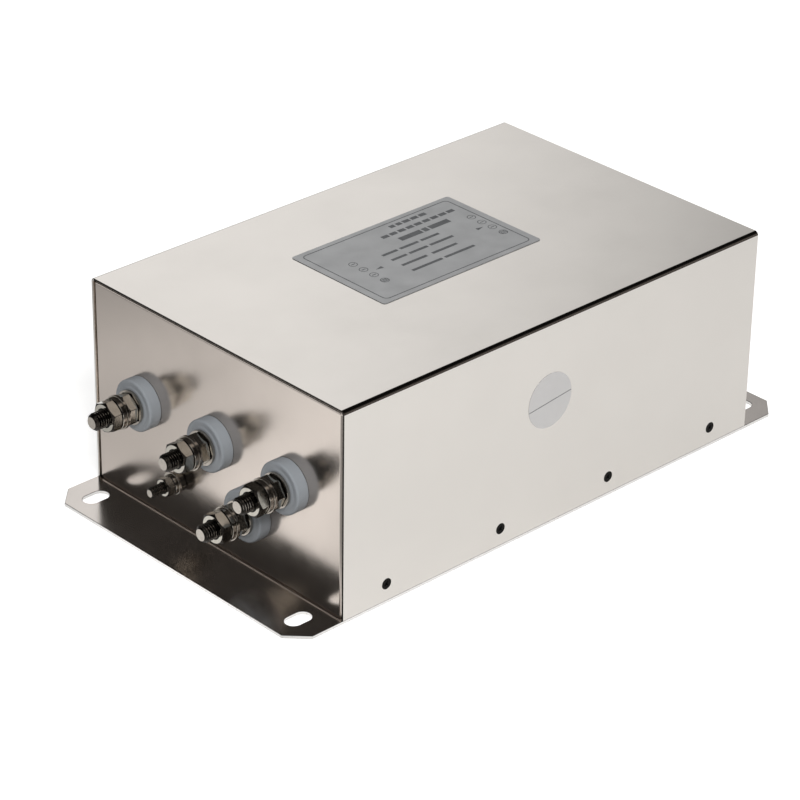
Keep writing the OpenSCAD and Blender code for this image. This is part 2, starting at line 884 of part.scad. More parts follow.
module winding(i, line_angle, s) {
    translate([0, 0, choke_z]) strap(winding_stops(line_angle, s));
    link(LINE, TERMS[i], line_angle);
    link(LOAD, TERMS[i], line_angle + s * winding_arc);
}

module winding_l1() {
    color("peru") winding(0, low_lead, 1);
}

module winding_l2() {
    color("peru") winding(1, -high_lead, 1);
}

module winding_l3() {
    color("peru") winding(2, 180 - low_lead, -1);
}

module winding_n() {
    color("peru") winding(3, 180 + high_lead, -1);
}

// Core, its case and the cradle below

module choke_core() {
    color("darkslategray") translate([case_t - case_h / 2, 0, choke_z]) rotate([0, 90, 0])
        ring(core_od, core_id, core_l);
}

// Half section of the case, rounded to suit the strap's bends
module case_section() {
    translate([(case_ro + case_ri) / 2, 0]) round_rect(case_ro - case_ri, case_h, strap_bend_r - strap_clear);
}

// Ring-shaped tray, open towards the load end
module choke_case() {
    color("ivory") translate([0, 0, choke_z]) rotate([0, 90, 0]) rotate_extrude() difference() {
        case_section();
        translate([case_ri + case_t, case_t - case_h / 2]) square([case_ro - case_ri - 2 * case_t, case_h]);
        translate([0, case_h / 2 - case_t]) square([2 * case_ro, case_h]);
    }
}

// Flat lid that closes the tray
module choke_lid() {
    color("ivory") translate([0, 0, choke_z]) rotate([0, 90, 0]) rotate_extrude() intersection() {
        case_section();
        translate([0, case_h / 2 - case_t]) square([2 * case_ro, case_h]);
    }
}

module choke_cradle() {
    low_strap = strap_ro * cos(high_lead) - strap_w / 2 * sin(high_lead) - strap_t / 2 * cos(high_lead);
    saddle_w = 2 * (low_strap - cradle_clear);
    saddle_top = choke_z - 0.9 * case_ro;
    color("khaki") difference() {
        union() {
            translate([-cradle_l / 2, -foot_w / 2, base_t]) cube([cradle_l, foot_w, foot_t]);
            translate([-cradle_l / 2, -saddle_w / 2, base_t]) cube([cradle_l, saddle_w, saddle_top - base_t]);
        }
        translate([-cradle_l / 2 - 1, 0, choke_z]) rotate([0, 90, 0]) cylinder(r = case_ro, h = cradle_l + 2);
    }
}

// Boards

// Runs over the two pins of every part in a list
module at_pins(parts, reach) {
    for (p = parts, s = [-1, 1]) translate([p[0] + s * reach, p[1], 0]) children();
}

module board(side) {
    drill = pin_d + 2 * hole_clear;
    mirror([side < 0 ? 1 : 0, 0, 0]) translate([0, 0, board_z]) linear_extrude(height = board_t) difference() {
        translate([board_x - board_l / 2, -board_w / 2]) square([board_l, board_w]);
        for (p = SPACERS) translate(p) circle(d = spacer_neck_d + 2 * hole_clear);
        at_pins(XCAPS, xcap_pin) circle(d = drill, $fn = 24);
        if (side < 0) at_pins(YCAPS, ycap_pin) circle(d = drill, $fn = 24);
        if (side > 0) at_pins(RESISTORS, res_pin) circle(d = drill, $fn = 24);
    }
}

module line_board() {
    color("seagreen") board(LINE);
}

module load_board() {
    color("seagreen") board(LOAD);
}

module board_spacers() {
    color("white") for (side = [0, 1]) mirror([side, 0, 0]) for (p = SPACERS) {
        translate([p[0], p[1], base_t]) rotate_extrude($fn = 32) polygon([
            [0, 0], [spacer_d / 2, 0], [spacer_d / 2, spacer_h],
            [spacer_neck_d / 2, spacer_h], [spacer_neck_d / 2, spacer_h + board_t],
            [spacer_head_d / 2, spacer_h + board_t],
            [spacer_neck_d / 2, spacer_h + board_t + spacer_head_h],
            [0, spacer_h + board_t + spacer_head_h]
        ]);
    }
}

// Moulded box on two pins
module box_cap(l, w, h, reach) {
    linear_extrude(height = h) round_rect(l, w, cap_round);
    for (s = [-1, 1]) {
        translate([s * reach, 0, -board_t - pin_out]) cylinder(d = pin_d, h = board_t + pin_out + 0.5, $fn = 24);
    }
}

module x_caps() {
    for (p = XCAPS) translate([p[0], p[1], board_top]) box_cap(xcap_l, xcap_w, xcap_h, xcap_pin);
}

module line_x_capacitors() {
    color("goldenrod") mirror([1, 0, 0]) x_caps();
}

module load_x_capacitors() {
    color("goldenrod") x_caps();
}

module y_capacitors() {
    color("royalblue") mirror([1, 0, 0]) for (p = YCAPS) {
        translate([p[0], p[1], board_top]) box_cap(ycap_l, ycap_w, ycap_h, ycap_pin);
    }
}

// Axial resistor lying on the board, its two wires bent down through it
module resistor() {
    r = res_d / 2;
    rotate([0, 90, 0]) cylinder(r = r, h = res_l, center = true);
    rotate([0, 90, 0]) cylinder(d = pin_d, h = 2 * res_pin, center = true, $fn = 24);
    for (s = [-1, 1]) {
        translate([s * res_pin, 0, 0]) sphere(d = pin_d, $fn = 24);
        translate([s * res_pin, 0, -r - board_t - pin_out]) cylinder(d = pin_d, h = r + board_t + pin_out, $fn = 24);
    }
}

module bleed_resistors() {
    color("steelblue") for (p = RESISTORS) translate([p[0], p[1], board_top + res_d / 2]) resistor();
}

base_plate();
cover();
line_panel();
load_panel();
side_rail_left();
side_rail_right();
cover_screws_left();
cover_screws_right();
line_bushing_l1();
line_bushing_l2();
line_bushing_l3();
line_bushing_n();
load_bushing_l1();
load_bushing_l2();
load_bushing_l3();
load_bushing_n();
line_stud_l1();
line_stud_l2();
line_stud_l3();
line_stud_n();
load_stud_l1();
load_stud_l2();
load_stud_l3();
load_stud_n();
line_seat_washers();
line_clamp_nuts();
line_flat_washers();
line_spring_washers();
line_terminal_nuts();
load_seat_washers();
load_clamp_nuts();
load_flat_washers();
load_spring_washers();
load_terminal_nuts();
line_inner_bushings();
load_inner_bushings();
line_back_nuts();
load_back_nuts();
earth_stud();
earth_nuts();
earth_washer();
earth_spring_washer();
nameplate();
inspection_sticker();
winding_l1();
winding_l2();
winding_l3();
winding_n();
choke_core();
choke_case();
choke_lid();
choke_cradle();
line_x_capacitors();
load_x_capacitors();
y_capacitors();
bleed_resistors();
line_board();
load_board();
board_spacers();
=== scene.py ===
# %% [markdown]
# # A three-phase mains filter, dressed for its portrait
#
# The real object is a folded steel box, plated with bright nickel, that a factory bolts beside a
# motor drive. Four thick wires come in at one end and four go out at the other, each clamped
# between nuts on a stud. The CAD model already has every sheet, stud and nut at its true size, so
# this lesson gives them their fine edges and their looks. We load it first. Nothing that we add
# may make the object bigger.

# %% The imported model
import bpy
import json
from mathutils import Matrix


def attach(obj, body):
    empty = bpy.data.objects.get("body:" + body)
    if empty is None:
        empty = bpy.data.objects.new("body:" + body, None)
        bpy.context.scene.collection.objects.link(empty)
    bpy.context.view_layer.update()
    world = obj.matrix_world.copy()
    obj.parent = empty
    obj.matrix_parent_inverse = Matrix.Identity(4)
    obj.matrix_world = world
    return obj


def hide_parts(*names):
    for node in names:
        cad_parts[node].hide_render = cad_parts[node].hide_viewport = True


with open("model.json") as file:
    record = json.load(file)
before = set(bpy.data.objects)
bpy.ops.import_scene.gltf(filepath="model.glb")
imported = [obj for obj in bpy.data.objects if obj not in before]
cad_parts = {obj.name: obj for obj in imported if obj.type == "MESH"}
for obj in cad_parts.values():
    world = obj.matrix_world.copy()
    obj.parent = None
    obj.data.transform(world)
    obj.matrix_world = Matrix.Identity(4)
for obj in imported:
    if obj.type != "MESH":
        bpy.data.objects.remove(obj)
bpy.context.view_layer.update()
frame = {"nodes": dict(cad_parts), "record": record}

# %% [markdown]
# ## Working by hand, in code
#
# Each tool that a hand would click is an operator here, and an operator acts on everything that is
# selected. So each step starts by letting go of it all and taking one piece. The drawing's sizes
# are millimetres and Blender's are metres, and one number turns the first into the second.

# %% Taking hold of a piece
import bpy

MM = 0.001
OPS = bpy.ops.mesh


def let_go():
    """Deselects everything, in object mode."""
    if bpy.context.object and bpy.context.object.mode != "OBJECT":
        bpy.ops.object.mode_set(mode="OBJECT")
    bpy.ops.object.select_all(action="DESELECT")


def take(piece):
    """Selects one piece alone and makes it active."""
    let_go()
    piece.select_set(True)
    bpy.context.view_layer.objects.active = piece


def edit(piece):
    """Takes a piece into edit mode with all of it selected."""
    take(piece)
    bpy.ops.object.mode_set(mode="EDIT")
    OPS.select_all(action="SELECT")


print("one millimetre is", MM, "in the scene")

# %% [markdown]
# ## Modifiers and the last touch
#
# A modifier could stay live, but the export reads finished meshes, so each one is applied at once.
# A piece is finished when its faces point outwards, when its object sits at the origin with its
# place in its mesh, as a CAD node's does, and when flat faces stay flat beside smooth rounds:
# weighted normals do that last part, because they let the large faces decide the shading.

# %% Modifiers, cuts and finishing
from math import radians

SMOOTH = 35                             # degrees


def modify(piece, kind, **settings):
    """Adds a modifier with its settings and applies it."""
    take(piece)
    added = piece.modifiers.new(kind.title(), kind)
    for key, value in settings.items():
        setattr(added, key, value)
    bpy.ops.object.modifier_apply(modifier=added.name)


def cut(piece, tool, operation="DIFFERENCE"):
    """Cuts a piece with a tool, or keeps what they share, and throws the tool away."""
    modify(piece, "BOOLEAN", operation=operation, solver="EXACT", object=tool)
    bpy.data.objects.remove(tool)


def done(piece, name, smooth=SMOOTH):
    """Ends the work on a piece. Faces that meet at less than the angle smooth are shaded round."""
    edit(piece)
    OPS.normals_make_consistent(inside=False)
    take(piece)
    bpy.ops.object.transform_apply(location=True, rotation=True, scale=True)
    bpy.ops.object.shade_smooth_by_angle(angle=radians(smooth))
    modify(piece, "WEIGHTED_NORMAL", weight=100, keep_sharp=True)
    piece.name = piece.data.name = name
    return piece


print("shaded round up to", SMOOTH, "degrees, unless a piece asks for another angle")

# %% [markdown]
# ## Colours and nodes
#
# Colours are picked as a screen shows them and turned to linear light by one function. One more
# function adds a node, with its settings, its values and its links in a single call. Every material
# begins with the object's own coordinates, ends with its shader, and wanders between two colours
# and two roughnesses, because no real surface is even.

# %% Helpers for materials
def srgb(text):
    """A colour such as #8F989E as linear light."""
    parts = [int(text[i:i + 2], 16) / 255 for i in (1, 3, 5)]
    light = [c / 12.92 if c <= 0.04045 else ((c + 0.055) / 1.055) ** 2.4 for c in parts]
    return (*light, 1.0)


def add(tree, kind, values=None, **settings):
    """Adds a node. Settings are its own properties; values go to its inputs, each as a number or
    as a link from another node's output."""
    made = tree.nodes.new(kind)
    for key, value in settings.items():
        setattr(made, key, value)
    for key, value in (values or {}).items():
        if isinstance(value, bpy.types.NodeSocket):
            tree.links.new(value, made.inputs[key])
        else:
            made.inputs[key].default_value = value
    return made


def start(name):
    """A new material, with nothing in it but the object's own coordinates."""
    material = bpy.data.materials.new(name)
    material.use_nodes = True
    tree = material.node_tree
    tree.nodes.clear()
    return material, tree, add(tree, "ShaderNodeTexCoord").outputs["Object"]


def end_with(material, values):
    """Ends a material with its shader, which takes these values and links."""
    tree = material.node_tree
    shader = add(tree, "ShaderNodeBsdfPrincipled", values)
    add(tree, "ShaderNodeOutputMaterial", {"Surface": shader.outputs[0]})
    return material


def wander(tree, cloud, colours, roughness, calm=0.3):
    """Shader inputs that wander with a cloud of noise between two colours and two roughnesses."""
    one, other = (srgb(colour) for colour in colours)
    tint = add(tree, "ShaderNodeMix", {"Factor": cloud, "A": one, "B": other}, data_type="RGBA")
    smooth, rough = roughness
    gloss = add(tree, "ShaderNodeMapRange", {"Value": cloud, "From Min": calm, "From Max": 0.7,
                                             "To Min": smooth, "To Max": rough})
    return {"Base Color": tint.outputs["Result"], "Roughness": gloss.outputs[0]}


print("a screen's mid grey in linear light:", srgb("#808080"))

# %% [markdown]
# ## Bright nickel on folded sheet
#
# The box is cold-rolled steel with bright nickel plating: a warm grey mirror that a fine satin
# blurs. The rolls leave a faint grain along the sheet, and handling leaves patches that are a touch
# duller. The real grain is about 0.05 mm; it is drawn at 0.6 mm so that it shows at all.

# %% Sheet metal
GRAIN_ACROSS, GRAIN_ALONG = 1600, 12    # lines in a metre: one each 0.6 mm, about 80 mm long
PATCHES = 28.0                          # in a metre: duller patches of about 36 mm
GRAIN_DEPTH = 0.00005                   # metres


def plated_sheet(name, colour, dull, low, high, grain):
    """Nickel-plated sheet. Its roughness wanders from low to high; grain is the axis along which
    its rolled lines run."""
    material, tree, place = start(name)
    stretch = tuple(GRAIN_ALONG if axis == grain else GRAIN_ACROSS for axis in "XYZ")
    drawn = add(tree, "ShaderNodeMapping", {"Vector": place, "Scale": stretch}).outputs[0]
    rolled = add(tree, "ShaderNodeTexNoise", {"Vector": drawn, "Scale": 1.0, "Detail": 2.0})
    patches = add(tree, "ShaderNodeTexNoise", {"Vector": place, "Scale": PATCHES, "Detail": 4.0,
                                               "Roughness": 0.6})
    relief = add(tree, "ShaderNodeBump", {"Height": rolled.outputs[0], "Strength": 0.03,
                                          "Distance": GRAIN_DEPTH})
    look = wander(tree, patches.outputs[0], (colour, dull), (low, high), calm=0.35)
    return end_with(material, {**look, "Metallic": 1.0, "Normal": relief.outputs[0]})


# The cover is the brightest: its satin is so fine that the top still shows the room in bands.
COVER_METAL = plated_sheet("bright_nickel_cover", "#E3DFDA", "#DDD9D4", 0.13, 0.18, "X")
# The end panels are a little browner and softer, so the terminals' mirror images blur in them.
PANEL_METAL = plated_sheet("bright_nickel_panels", "#DAD0C8", "#D2C8C0", 0.17, 0.24, "Z")
# The base plate is between the two, with its grain across the box.
BASE_METAL = plated_sheet("bright_nickel_base", "#DAD4CF", "#D0CAC5", 0.16, 0.23, "Y")
# The rails inside are zinc-plated: a cooler and much duller grey.
RAIL_METAL = plated_sheet("zinc_rails", "#BFC1C2", "#A9ABAD", 0.3, 0.42, "X")
print("sheet metals:", [m.name for m in (COVER_METAL, PANEL_METAL, BASE_METAL, RAIL_METAL)])

# %% [markdown]
# ## The hardware's metals
#
# Studs, nuts and washers are turned or pressed, then nickel-plated. Small parts tumble together in
# the bath, so they are smoother than the sheet and reflect in hard, dark and bright bands. Flat
# grey would need painted shading; a real metal takes its shading from the room.

# %% Plated hardware
STAIN_DEPTH = 0.0001                    # metres


def plated_small(name, colour, stain, low, high, size):
    """Barrel-plated small parts: nearly a mirror, with stains of about the given size in mm."""
    material, tree, place = start(name)
    cloud = add(tree, "ShaderNodeTexNoise", {"Vector": place, "Scale": 1000 / size,
                                             "Detail": 3.0}).outputs[0]
    relief = add(tree, "ShaderNodeBump", {"Height": cloud, "Strength": 0.15,
                                          "Distance": STAIN_DEPTH})
    look = wander(tree, cloud, (colour, stain), (low, high))
    return end_with(material, {**look, "Metallic": 1.0, "Normal": relief.outputs[0]})


# The studs' warm grey wanders at random towards a browner one.
STUD_METAL = plated_small("nickel_studs", "#C4BEB6", "#A8A199", 0.12, 0.20, 1.6)
# The nuts are the shiniest parts: each facet shows one flat piece of the room.
NUT_METAL = plated_small("nickel_nuts", "#C9C6BE", "#AEA99F", 0.08, 0.15, 3.0)
# Washers are stamped, so their faces are a shade softer than the nuts'.
WASHER_METAL = plated_small("nickel_washers", "#BDB7AF", "#A29B92", 0.12, 0.20, 2.4)
print("hardware metals:", [m.name for m in (STUD_METAL, NUT_METAL, WASHER_METAL)])

# %% [markdown]
# ## Moulded and coated parts
#
# The insulators are moulded nylon in a cool mid grey, slightly glossy where the mould was polished.
# Inside the box, unseen, are a copper choke, film capacitors in plastic boxes and two green boards.
# All of them are one kind of surface, a soft mottling under a fine skin, so one function makes it.

# %% Plastics, coatings and boards
SKIN = 2200.0                           # in a metre: a moulded skin's grain of about 0.45 mm
SKIN_DEPTH = 0.0001                     # metres


def coated(name, colour, shade, rough, size, relief=0.1, metallic=0.0):
    """A plastic, paint or coating with mottling of about the given size in mm and a fine skin."""
    material, tree, place = start(name)
    cloud = add(tree, "ShaderNodeTexNoise", {"Vector": place, "Scale": 1000 / size,
                                             "Detail": 3.0}).outputs[0]
    skin = add(tree, "ShaderNodeTexNoise", {"Vector": place, "Scale": SKIN, "Detail": 1.0})
    bump = add(tree, "ShaderNodeBump", {"Height": skin.outputs[0], "Strength": relief,
                                        "Distance": SKIN_DEPTH})
    look = wander(tree, cloud, (colour, shade), (rough - 0.05, rough + 0.06))
    return end_with(material, {**look, "Metallic": metallic, "Normal": bump.outputs[0]})


# Nylon scatters the soft lamp into a broad pale sheen on each insulator.
NYLON = coated("grey_nylon", "#9CA1A6", "#95999E", 0.42, 6.0)
# Blackened steel screws: dark, with an oily glint in their sockets.
BLACK_OXIDE = coated("black_oxide_steel", "#181716", "#0F0E0D", 0.34, 1.5, metallic=1.0)
# Anodised foil: half metal, half grey film, it catches the room only softly.
FOIL = coated("nameplate_aluminium", "#B0B1B2", "#A8A9AA", 0.36, 9.0, relief=0.05, metallic=0.35)
# Vinyl is a plain, even near-white beside the metal.
PAPER = coated("sticker_vinyl", "#D5D3D2", "#CFCDCC", 0.40, 8.0, relief=0.05)
# Screen-printing ink is a matt dark grey, never quite black.
INK = coated("printing_ink", "#5F6163", "#555759", 0.5, 3.0, relief=0.05)
INSIDE = {
    # enamelled strap: copper that glows through a clear brown varnish
    "copper_strap": coated("enamelled_copper", "#8A4A22", "#7A3E1B", 0.3, 5.0, metallic=0.6),
    # a core wound from ribbon as thin as foil: dark grey with a fine flicker
    "core_ribbon": coated("core_ribbon", "#4A4B4F", "#3C3D41", 0.4, 1.0, metallic=0.7),
    # natural nylon: a yellowish white
    "case_plastic": coated("core_case_nylon", "#D8D2BE", "#CEC8B4", 0.45, 6.0),
    # hard laminate: straw yellow, dull where it was sawn
    "cradle_plastic": coated("cradle_laminate", "#B9A36A", "#AA955E", 0.5, 3.0),
    # capacitor boxes: glossy moulded yellow for line to line, blue for line to earth
    "x_capacitor_box": coated("film_capacitor_box", "#C79A2E", "#BE9128", 0.35, 5.0),
    "y_capacitor_box": coated("safety_capacitor_box", "#2F62A8", "#29589A", 0.35, 5.0),
    # dipped resistors: a pale blue lacquer
    "resistor_coat": coated("resistor_lacquer", "#6E9DB4", "#618FA6", 0.35, 2.0),
    # boards: green varnish over glass cloth
    "board_laminate": coated("board_laminate", "#2E6A45", "#285F3D", 0.35, 3.0),
    # spacers: turned nylon, milky white
    "spacer_nylon": coated("spacer_nylon", "#E4E2DA", "#DAD8D0", 0.4, 3.0),
}
print("coatings:", len(INSIDE) + len((NYLON, BLACK_OXIDE, FOIL, PAPER, INK)))

# %% [markdown]
# ## Every CAD node gets its finish
#
# The record names a material slot for each node, so one table from slot to material dresses the
# whole model. Pieces that we model below stand for their nodes and take the same finishes.

# %% Dressing the CAD nodes
FINISH = {
    "base_sheet": BASE_METAL, "cover_sheet": COVER_METAL, "panel_sheet": PANEL_METAL,
    "rail_sheet": RAIL_METAL, "plated_stud": STUD_METAL, "plated_nut": NUT_METAL,
    "plated_washer": WASHER_METAL, "grey_insulator": NYLON, "black_screw": BLACK_OXIDE,
    "nameplate_foil": FOIL, "sticker_foil": PAPER, **INSIDE,
}
SLOT_OF = {row["node"]: row["material_slot"] for row in frame["record"]["subparts"]}
for name, obj in frame["nodes"].items():
    for slot in obj.material_slots:
        slot.material = FINISH[SLOT_OF[name]]
print("dressed:", len(SLOT_OF))


def stand_for(piece, node):
    """A finished piece takes a node's place: its finish, its body and its slot."""
    slot = SLOT_OF[node]
    piece.data.materials.clear()
    piece.data.materials.append(FINISH[slot])
    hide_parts(node)
    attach(piece, "root")
    return piece


# %% [markdown]
# ## Painted shade and highlight on the metal
#
# Some faces get a second finish that paints light and shade into their colour. Cut faces,
# chamfers, countersinks and thread flanks get a dark painted shade, for the dark gap beside the
# cover's ends and the dark room that they reflect. The cover's long bends get a brown painted dark
# reflection, and the base plate's rim a near-white painted highlight. A mask could blend these in
# one material, but each place is made of whole faces, so they are picked by the way they look and
# given their own.

# %% Second finishes: painted shade, painted dark reflection and painted highlight
# painted shade, dark, for cut faces, chamfers, countersinks and thread flanks
PAINTED_SHADE_METAL = plated_small("painted_shade_on_cuts_and_chamfers", "#3B3733", "#282522", 0.22, 0.34, 1.2)
# painted dark reflection, brown and satin, for the cover's long bends
PAINTED_DARK_BEND_METAL = plated_small("painted_dark_reflection_on_bends", "#6A625C", "#57504B", 0.2, 0.3, 3.0)
# painted highlight, near white, for the base plate's rim
PAINTED_HIGHLIGHT_METAL = plated_small("painted_highlight_on_plate_edge", "#F6F5F4", "#ECEAE8", 0.2, 0.3, 2.0)


def refinish(piece, finish, chosen):
    """Gives another finish to the faces that the function chosen says yes to."""
    piece.data.materials.append(finish)
    for face in piece.data.polygons:
        if chosen(face):
            face.material_index = len(piece.data.materials) - 1


def slanted(face):
    """A chamfer, a countersink or a thread's flank on a piece whose axis is X."""
    return 0.2 < abs(face.normal.x) < 0.95


print("second finishes:", [m.name for m in (PAINTED_SHADE_METAL, PAINTED_DARK_BEND_METAL, PAINTED_HIGHLIGHT_METAL)])

# %% [markdown]
# ## The folded sheets
#
# A press brake never leaves a knife edge: every cut edge of a real sheet has a tiny burr or round
# that catches light. A sheet could be folded again from a flat one, but the CAD sheet already has
# the true bends. So a copy of it is merged into one skin, its flat faces are joined, and its edges
# get a fine bevel. The cover's faces are then split in triangles, so that the cut end of its top
# and of its near side can take painted shade while the far side's stays bright. The cover's bends
# also take a painted dark reflection, and the base plate's rim a painted highlight.

# %% Cover, panels and base plate
BEVEL_MM = {"cover": 0.12, "line_panel": 0.1, "load_panel": 0.1, "base_plate": 0.16}
FAR_WALL = 0.0795                       # metres; beyond it the cover's far side begins
# painted dark reflection: the cover's bends; painted highlight: the base plate's rim
# painted shade: the cover's near cut ends and the base plate's slanted faces
SECOND = {
    "cover": (
        (PAINTED_SHADE_METAL, lambda face: abs(face.normal.x) > 0.3 and face.center.y < FAR_WALL),
        (PAINTED_DARK_BEND_METAL, lambda face: 0.1 < abs(face.normal.z) < 0.99 and abs(face.normal.x) < 0.1),
    ),
    "base_plate": (
        (PAINTED_SHADE_METAL, lambda face: 0.2 < abs(face.normal.z) < 0.95),
        (PAINTED_HIGHLIGHT_METAL, lambda face: abs(face.normal.z) < 0.2),
    ),
}


def skin_of(node):
    """A copy of a CAD node with its loose triangles merged and its flat faces joined."""
    piece = frame["nodes"][node].copy()
    piece.data = frame["nodes"][node].data.copy()
    for key in [key for key in piece.keys() if key.startswith("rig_")]:
        del piece[key]
    piece.parent = None
    bpy.context.scene.collection.objects.link(piece)
    take(piece)
    OPS.customdata_custom_splitnormals_clear()
    edit(piece)
    OPS.remove_doubles(threshold=0.000001)
    OPS.dissolve_limited(angle_limit=radians(0.5))
    let_go()
    return piece


for node, width in BEVEL_MM.items():
    sheet = skin_of(node)
    modify(sheet, "BEVEL", width=width * MM, segments=2, limit_method="ANGLE",
           angle_limit=radians(50))
    if node == "cover":
        modify(sheet, "TRIANGULATE")
    done(sheet, node + "_sheet", smooth=30)
    stand_for(sheet, node)
    for finish, chosen in SECOND.get(node, ()):
        refinish(sheet, finish, chosen)
    print(sheet.name, len(sheet.data.polygons), "faces")

# %% [markdown]
# ## Turned pieces
#
# Insulators, washers and cutting tools are all rings. Each starts as a circle that is extruded and
# scaled from one ring of its section to the next, until it meets itself, which is how a lathe would
# describe it. Spin would do it too, but it leaves the ends of its turn to be merged.

# %% A lathe made of extrude and scale
RING_STEPS = 64


def lathe(rings, steps=RING_STEPS, closed=True):
    """Turns a section, given as (radius, height) pairs in millimetres, round Z. A section that
    isn't closed has a flat face at both ends."""
    let_go()
    radius, height = rings[0]
    OPS.primitive_circle_add(vertices=steps, radius=radius * MM, location=(0, 0, height * MM))
    piece = bpy.context.object
    bpy.ops.object.transform_apply(location=True)
    edit(piece)
    if not closed:
        OPS.edge_face_add()
        OPS.select_all(action="SELECT")
    for next_radius, next_height in list(rings[1:]) + (rings[:1] if closed else []):
        rise = (0, 0, (next_height - height) * MM)
        OPS.extrude_region_move(TRANSFORM_OT_translate={"value": rise})
        grow = next_radius / radius
        bpy.ops.transform.resize(value=(grow, grow, 1), center_override=(0, 0, next_height * MM))
        radius, height = next_radius, next_height
    OPS.select_all(action="SELECT")
    OPS.remove_doubles(threshold=0.000001)
    OPS.normals_make_consistent(inside=False)
    let_go()
    return piece


print("steps in a turned ring:", RING_STEPS)

# %% [markdown]
# ## Where things sit
#
# These are places that the drawing gives, so that each new piece lands on the solid it stands for.
# A master piece is made once, upright at the origin, and copied to every terminal of both ends.

# %% Places from the drawing, in millimetres
from math import pi

from mathutils import Matrix, Vector

PANEL_X = 124.8                         # from the middle of the box to a panel's outer face
ENDS = {"line": -1, "load": 1}          # the way in which each panel looks along X
TERMINALS = {"l1": (47.5, 52.7), "l2": (0.0, 52.7), "l3": (-47.5, 52.7), "n": (-23.75, 28.9)}


def on_panel(end, place, height=0.0, turn=0.0):
    """The matrix that stands a piece on a panel, its own Z pointing out of the box, at a height
    above the panel and turned about that Z in degrees."""
    spot = Vector((ENDS[end] * PANEL_X, place[0], place[1])) * MM
    out = Matrix.Rotation(ENDS[end] * pi / 2, 4, "Y")
    lift = Matrix.Translation((0, 0, height * MM))
    return Matrix.Translation(spot) @ out @ lift @ Matrix.Rotation(radians(turn), 4, "Z")


def put(master, matrix):
    """A copy of a master piece with its own mesh, moved to its place."""
    piece = master.copy()
    piece.data = master.data.copy()
    bpy.context.scene.collection.objects.link(piece)
    piece.data.transform(matrix)
    return piece


print("terminals:", len(ENDS) * len(TERMINALS))

# %% [markdown]
# ## Insulators
#
# A moulded bushing keeps each live stud away from the sheet: a neck in the panel's hole, a broad
# disc outside it, and a low seat for the washer. The mould rounds every edge that a finger meets.
# Bevels would round them all alike, so the section is drawn with its own rounds and turned.

# %% The insulators
BUSHING = [(4.1, -2.7), (7.0, -2.7), (7.0, 0.0), (11.8, 0.0),                   # neck and back
           (12.0, 0.2), (12.0, 5.1), (11.92, 5.5), (11.7, 5.8), (11.4, 6.0),    # rim and round
           (11.0, 6.1), (9.9, 6.1), (9.6, 6.13), (9.2, 6.22), (8.8, 6.38),      # face and rise
           (8.5, 6.46), (8.2, 6.5), (4.1, 6.5)]                                 # seat and bore

bushing = done(lathe(BUSHING, steps=96), "bushing_master", smooth=40)
for end in ENDS:
    for phase, place in TERMINALS.items():
        piece = put(bushing, on_panel(end, place))
        piece.name = piece.data.name = f"{end}_insulator_{phase}"
        stand_for(piece, f"{end}_bushing_{phase}")
print("insulator:", len(bushing.data.polygons), "faces")
bpy.data.objects.remove(bushing)

# %% [markdown]
# ## Washers and spring washers
#
# A flat washer is stamped, and its outer edges come out softly rounded. A spring washer is a square
# wire wound once and cut at a slant, so its gap shows as a thin dark line. Both are turned rings;
# the slit is cut with a thin tilted block, which is simpler than winding a wire by so little.

# %% Washers
SEAT_WASHER = {"outer": 16.0, "bore": 8.4, "thick": 1.6, "edge": 0.25}
FLAT_WASHER = {"outer": 15.6, "bore": 8.4, "thick": 1.6, "edge": 0.25}
SPRING_WASHER = {"outer": 14.6, "bore": 8.4, "thick": 1.9}
EARTH_WASHER = {"outer": 11.0, "bore": 5.4, "thick": 1.0, "edge": 0.2}
EARTH_SPRING = {"outer": 9.2, "bore": 5.4, "thick": 1.1}


def washer(outer, bore, thick, edge):
    """A flat ring with a small round on both outer edges."""
    rim, part = outer / 2, 0.3 * edge
    return done(lathe([(bore / 2, 0), (rim - edge, 0), (rim - part, part), (rim, edge),
                       (rim, thick - edge), (rim - part, thick - part), (rim - edge, thick),
                       (bore / 2, thick)]), "washer")


def spring_washer(outer, bore, thick, edge=0.15, slit=0.7, slant=25):
    """A ring with a slanted slit."""
    rim = outer / 2
    ring = lathe([(bore / 2, 0), (rim - edge, 0), (rim, edge), (rim, thick - edge),
                  (rim - edge, thick), (bore / 2, thick)])
    let_go()
    OPS.primitive_cube_add(size=1, rotation=(radians(slant), 0, 0),
                           location=((outer + bore) / 4 * MM, 0, thick / 2 * MM),
                           scale=((outer - bore) * MM, slit * MM, 3 * thick * MM))
    cut(ring, bpy.context.object)
    return done(ring, "spring_washer")


print("seat washer:", SEAT_WASHER["outer"], "mm, spring washer:", SPRING_WASHER["outer"], "mm")

# %% [markdown]
# ## The stack on a stud
#
# The stack grows outwards from its panel: insulator, washer, nut, washer, spring washer, nut. Eight
# terminals repeat it, so each kind of piece is made once and copied to all the studs of both ends,
# and the copies of one end are joined, as the CAD model has them. The earth stud has its own few.

# %% Copies on the terminals and on the earth stud
SEAT_AT, CLAMP_AT, FLAT_AT, SPRING_AT, OUTER_AT = 6.5, 8.1, 13.3, 14.9, 16.8   # above the panel
EARTH = (23.6, 23.8)                    # the earth stud's place on the line panel
EARTH_WASHER_AT, EARTH_SPRING_AT = 3.9, 4.9
SLITS = (20, 90, 160, 230)              # each spring washer's slit lies another way


def gather(name, pieces):
    """Joins pieces into one object."""
    take(pieces[0])
    for piece in pieces:
        piece.select_set(True)
    if len(pieces) > 1:
        bpy.ops.object.join()
    pieces[0].name = pieces[0].data.name = name
    return pieces[0]


